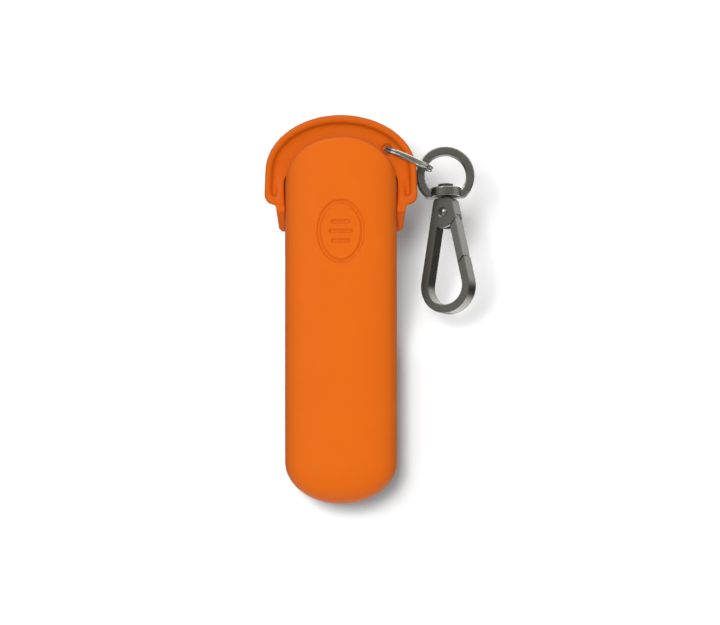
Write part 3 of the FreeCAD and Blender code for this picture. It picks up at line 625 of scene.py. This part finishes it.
def stage_white():
    material, tree, shader = new_material("stage_white")
    path = add_node(tree, "ShaderNodeLightPath").outputs
    surface = add_node(tree, "ShaderNodeNewGeometry").outputs

    # hidden from reflections, and from the camera when seen from behind or almost edge-on,
    # so no line of the sheet crosses a side view
    behind = calc(tree, "MULTIPLY", path["Is Camera Ray"], surface["Backfacing"])
    along_view = add_node(tree, "ShaderNodeVectorMath", {
        0: surface["Normal"], 1: surface["Incoming"]}, operation="DOT_PRODUCT")
    facing = add_node(tree, "ShaderNodeMath", {0: along_view.outputs["Value"]},
                      operation="ABSOLUTE").outputs["Value"]
    edge_on = remap(tree, facing, (0.10, 0.24), (1.0, 0.0), "SMOOTHSTEP")
    edge_on = calc(tree, "MULTIPLY", edge_on, path["Is Camera Ray"])
    hidden = calc(tree, "MAXIMUM", behind, edge_on)
    hidden = calc(tree, "MAXIMUM", path["Is Glossy Ray"], hidden)
    clear = add_node(tree, "ShaderNodeBsdfTransparent").outputs["BSDF"]
    seen = add_node(tree, "ShaderNodeMixShader", {
        "Fac": hidden, 1: shader.outputs["BSDF"], 2: clear}).outputs["Shader"]

    # bounced light meets an even glow
    even = add_node(tree, "ShaderNodeEmission", {"Strength": 0.30}).outputs["Emission"]
    whole = add_node(tree, "ShaderNodeMixShader", {
        "Fac": path["Is Diffuse Ray"], 1: seen, 2: even}).outputs["Shader"]
    wire(tree, tree.nodes["Material Output"], {"Surface": whole})

    # the sheet glows away from the product, and where the wall slopes back and so faces
    # the lights less squarely
    away = add_node(tree, "ShaderNodeVectorMath", {
        0: surface["Position"], 1: (0.004, 0.02, 0.036)}, operation="DISTANCE")
    glow = remap(tree, away.outputs["Value"], (0.030, 0.080), (0.0, 0.55), "SMOOTHSTEP")
    normal = add_node(tree, "ShaderNodeSeparateXYZ", {"Vector": surface["Normal"]})
    slope = calc(tree, "MULTIPLY", normal.outputs["Z"], 0.20, use_clamp=True)
    wire(tree, shader, {
        "Base Color": (0.82, 0.82, 0.82, 1),
        "Roughness": 0.9,
        "Specular IOR Level": 0.1,
        "Emission Color": (1, 1, 1, 1),
        "Emission Strength": calc(tree, "ADD", slope, glow)})
    return material


sheet = stage_sheet()
sheet.data.materials.append(stage_white())


# -------------------------------------------------------------------- world
def build_world():
    """Metal reflects a shaded room, the camera sees near white, the rest a soft light."""
    world = bpy.data.worlds.new("studio")
    scene.world = world
    world.use_nodes = True
    tree = world.node_tree
    generated = add_node(tree, "ShaderNodeTexCoord").outputs["Generated"]
    direction = add_node(tree, "ShaderNodeSeparateXYZ", {"Vector": generated}).outputs

    def ramp(axis, source, result):
        return remap(tree, direction[axis], source, result, "SMOOTHSTEP")

    def mix(one, two, factor):
        """one where the factor is 1, two where it is 0."""
        return calc(tree, "ADD", calc(tree, "MULTIPLY", one, factor),
                    calc(tree, "MULTIPLY", two, calc(tree, "SUBTRACT", 1.0, factor)))

    # at the back a bright ceiling, a dim band below the horizon and a bright floor
    ceiling = ramp("Z", (-0.04, 0.28), (0.09, 1.15))
    top = ramp("Z", (0.25, 0.95), (0.0, 0.9))
    low = ramp("Z", (-0.52, -0.26), (1.9, 0.0))
    back = calc(tree, "ADD", calc(tree, "ADD", ceiling, top), low)
    # a dim room on the camera's side
    camera_side = calc(tree, "ADD", ramp("Z", (-0.5, 0.55), (0.30, 0.42)),
                       calc(tree, "MULTIPLY", top, 0.8))
    room = mix(back, camera_side, ramp("Y", (-0.58, -0.26), (0.0, 1.0)))
    path = add_node(tree, "ShaderNodeLightPath").outputs
    soft, backdrop = 0.26, 1.05
    lit = mix(room, soft, path["Is Glossy Ray"])
    wire(tree, tree.nodes["Background"], {
        "Strength": mix(backdrop, lit, path["Is Camera Ray"]),
        "Color": (1.0, 1.0, 1.0, 1)})
    world.cycles.sampling_method = "NONE"


build_world()


# --------------------------------------------------------- lights and camera
def linked_group(name, objects):
    group = bpy.data.collections.new(name)
    for member in objects:
        group.objects.link(member)
    return group


def area(name, place, size, power):
    """A square area light aimed at the middle of the product."""
    lamp = bpy.data.lights.new(name, "AREA")
    lamp.energy = power
    lamp.size = size
    made = link_object(name, lamp)
    made.location = place
    made.rotation_mode = "QUATERNION"
    aim = Vector((0.0, 0.0, 0.036)) - Vector(place)
    made.rotation_quaternion = aim.to_track_quat("-Z", "Y")
    return made


def area_on(receivers, blockers=None, **settings):
    """An area light, unseen in reflections, that falls on the receivers only. Everything
    casts its shadow unless blockers are given."""
    made = area(**settings)
    made.visible_glossy = False
    made.light_linking.receiver_collection = linked_group(made.name + "_on", receivers)
    if blockers:
        made.light_linking.blocker_collection = linked_group(made.name + "_stops", blockers)


area_on(pieces, name="key", place=(-0.05, -0.80, 0.12), size=0.26, power=4.95)
area_on(pieces, pieces, name="rear", place=(0.22, 0.80, 0.26), size=0.40, power=4.2)
area_on([sheet], [sleeve], name="wash", place=(-0.24, -0.74, 0.27), size=0.28, power=2.5)
area_on([sheet], name="wash_near", place=(-0.11, -0.78, 0.145), size=0.19, power=4.7)
glint = area(name="glint", place=(-0.42, -0.55, 0.62), size=0.10, power=3.0)
glint.visible_diffuse = False

lens = bpy.data.cameras.new("camera")
lens.sensor_width = 36.0
lens.lens = 150.0
lens.clip_start = 0.01
lens.clip_end = 20
camera = link_object("camera", lens)
camera.location = (0.0038, -0.600, 0.0364)
camera.rotation_euler = (math.radians(90), 0, 0)
scene.camera = camera
scene.view_settings.view_transform = "Standard"
scene.view_settings.look = "None"
